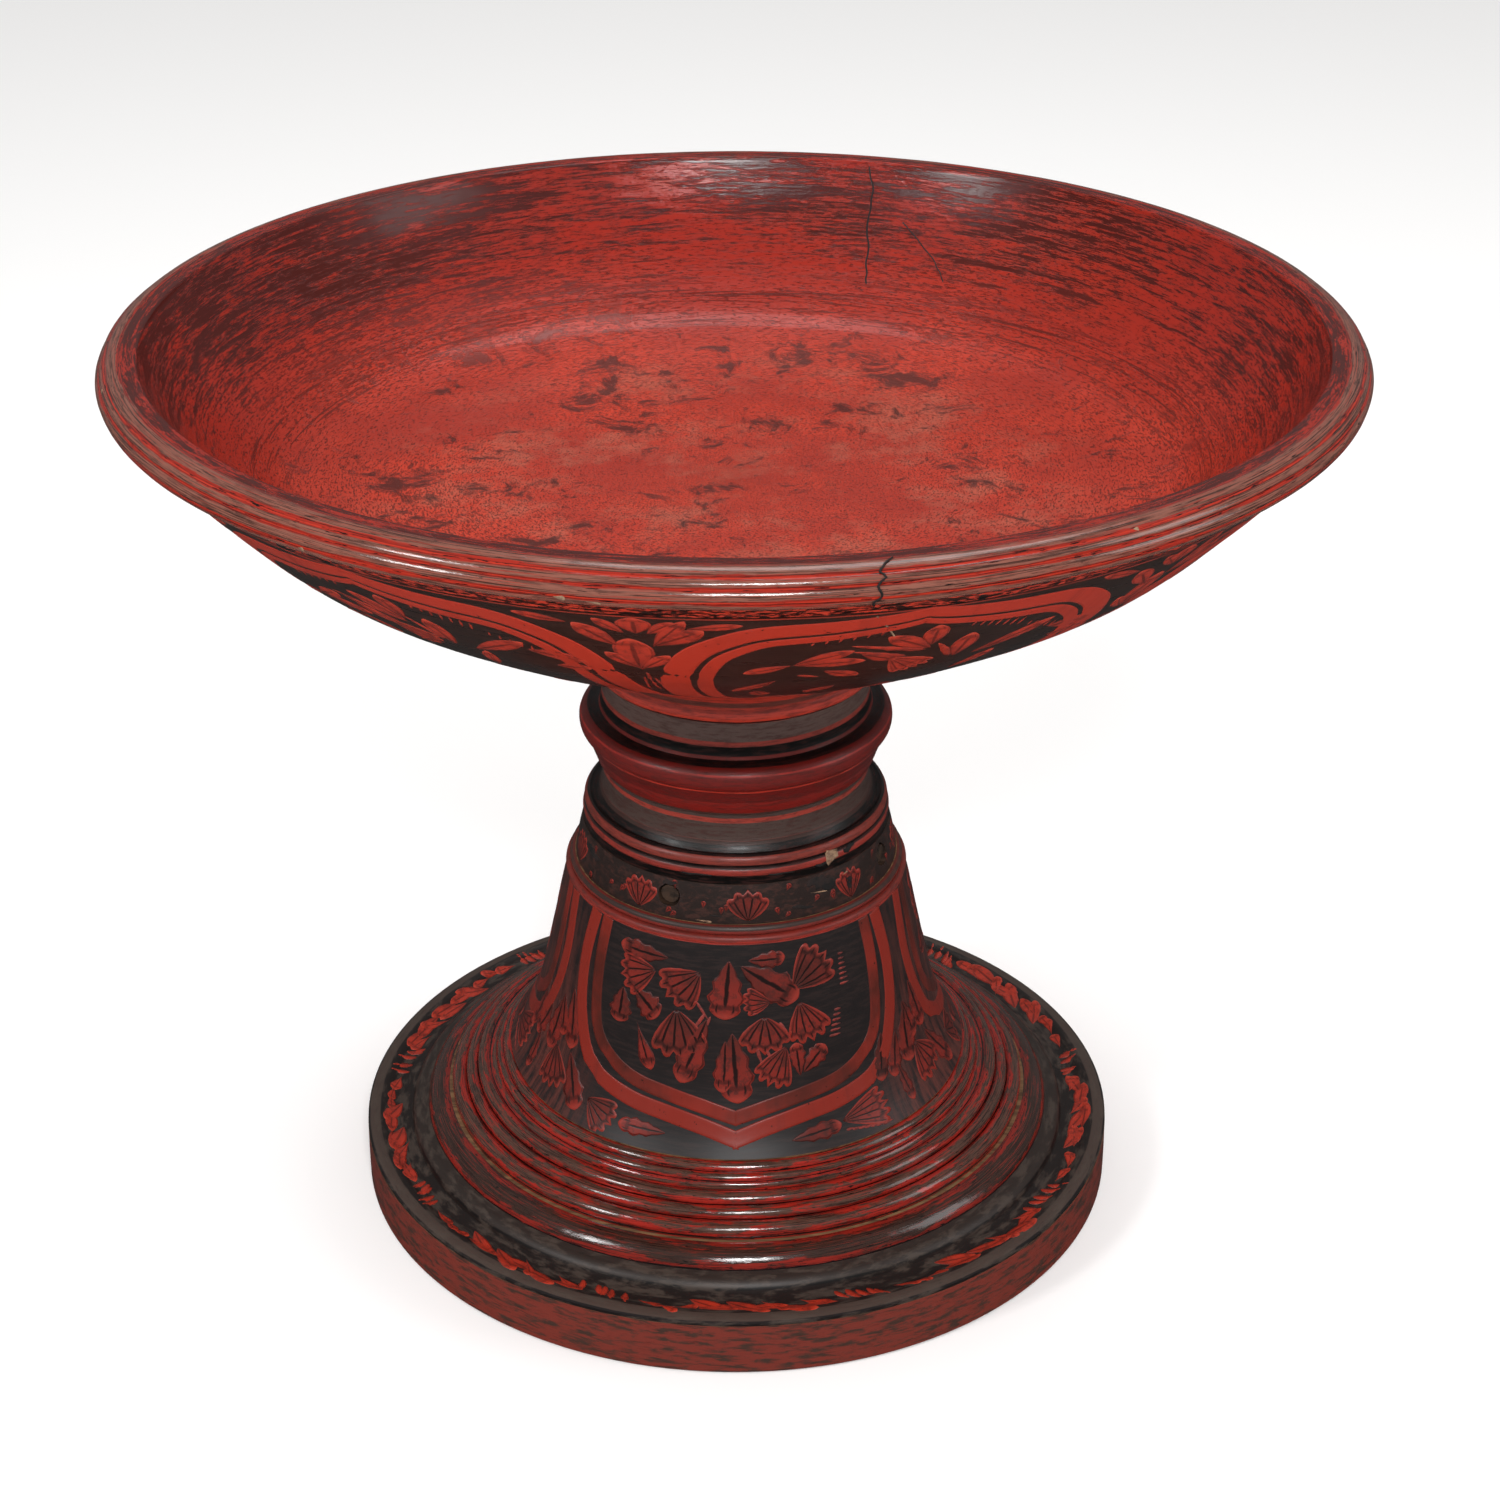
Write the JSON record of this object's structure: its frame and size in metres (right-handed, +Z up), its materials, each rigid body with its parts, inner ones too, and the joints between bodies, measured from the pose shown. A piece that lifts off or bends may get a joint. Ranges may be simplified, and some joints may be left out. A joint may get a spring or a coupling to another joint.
{
  "type": "footed lacquer bowl",
  "caption": "Wide shallow turned-wood dish on a baluster stem, bell and stepped round foot, in worn red and black painted lacquer.",
  "frame": {"origin": "centre of the ring that the foot stands on, at table height", "axes": "+Z up along the axis that every turned piece shares; -Y is the painted front"},
  "size_m": [0.4398, 0.4398, 0.3452],
  "materials": {
    "bowl": "worn lacquer, satin to gloss",
    "rim_hoop": "worn lacquer, satin to gloss",
    "stem": "worn lacquer, satin to gloss",
    "collar": "worn lacquer, satin to gloss",
    "collar_pegs": "worn end grain",
    "tenon_wedge": "bare split wood",
    "bell": "worn lacquer, satin to gloss",
    "reeded_ring": "worn lacquer, satin to gloss",
    "step_ring": "worn lacquer, satin to gloss",
    "foot_disc": "worn lacquer, satin to gloss",
    "base_hoop": "worn lacquer, satin to gloss",
    "foot_dowels": "bare wood"
  },
  "bodies": {
    "root": {"bowl": "bowl", "rim_hoop": "rim_hoop", "stem": "stem", "collar": "collar", "collar_pegs": "collar_pegs", "tenon_wedge": "tenon_wedge", "bell": "bell", "reeded_ring": "reeded_ring", "step_ring": "step_ring", "foot_disc": "foot_disc", "base_hoop": "base_hoop", "foot_dowels": "foot_dowels"}
  },
  "joints": []
}
